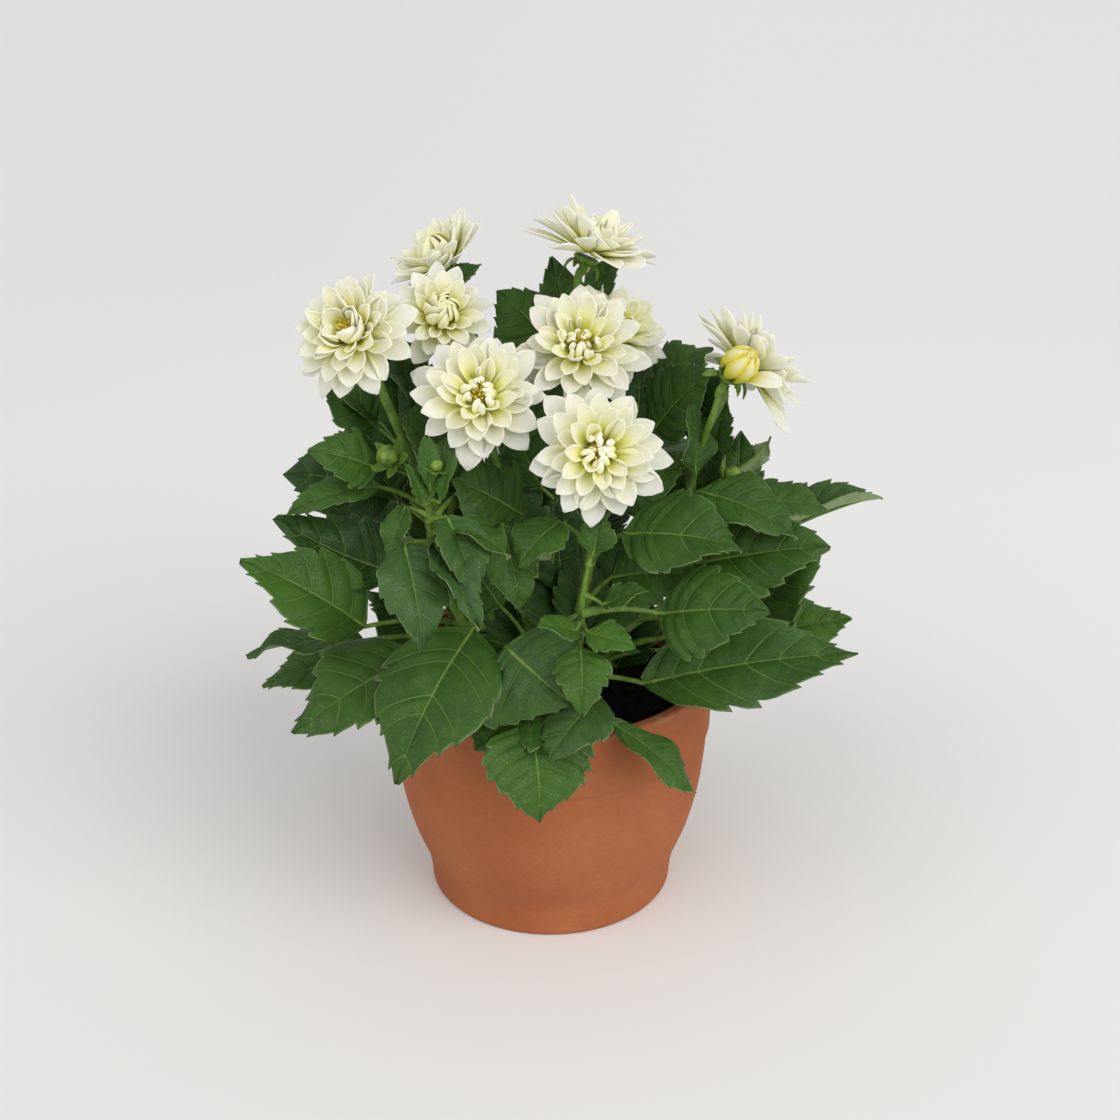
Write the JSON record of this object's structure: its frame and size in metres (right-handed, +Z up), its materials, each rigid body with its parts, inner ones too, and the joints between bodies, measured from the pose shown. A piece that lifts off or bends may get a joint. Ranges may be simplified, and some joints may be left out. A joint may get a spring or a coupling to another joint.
{
  "type": "potted dahlia",
  "caption": "Compact dahlia with cream double blooms over dark green toothed leaves, growing in a round terracotta pot of dark soil.",
  "frame": {"origin": "centre of the pot's flat underside", "axes": "+Z up along the pot's axis, -Y towards the front of the plant, where most blooms face"},
  "size_m": [0.2891, 0.2408, 0.3179],
  "materials": {
    "terracotta": "matte",
    "soil": "matte",
    "leaf_green": "satin",
    "petal_cream": "matte",
    "bud_yellow": "matte"
  },
  "bodies": {
    "root": {"terracotta_pot": "terracotta", "soil": "soil", "stem_left": "leaf_green", "stem_mid_left": "leaf_green", "stem_back_left": "leaf_green", "stem_front_left": "leaf_green", "shoot_left": "leaf_green", "shoot_front": "leaf_green", "stem_front": "leaf_green", "stem_centre": "leaf_green", "stem_back": "leaf_green", "stem_back_right": "leaf_green", "stem_right": "leaf_green", "bloom_left": "petal_cream", "bloom_back_left": "petal_cream", "bloom_mid_left": "petal_cream", "bloom_front_left": "petal_cream", "bloom_centre": "petal_cream", "bloom_front": "petal_cream", "bloom_back": "petal_cream", "bloom_back_right": "petal_cream", "bloom_right": "petal_cream", "opening_bud": "bud_yellow"}
  },
  "joints": []
}
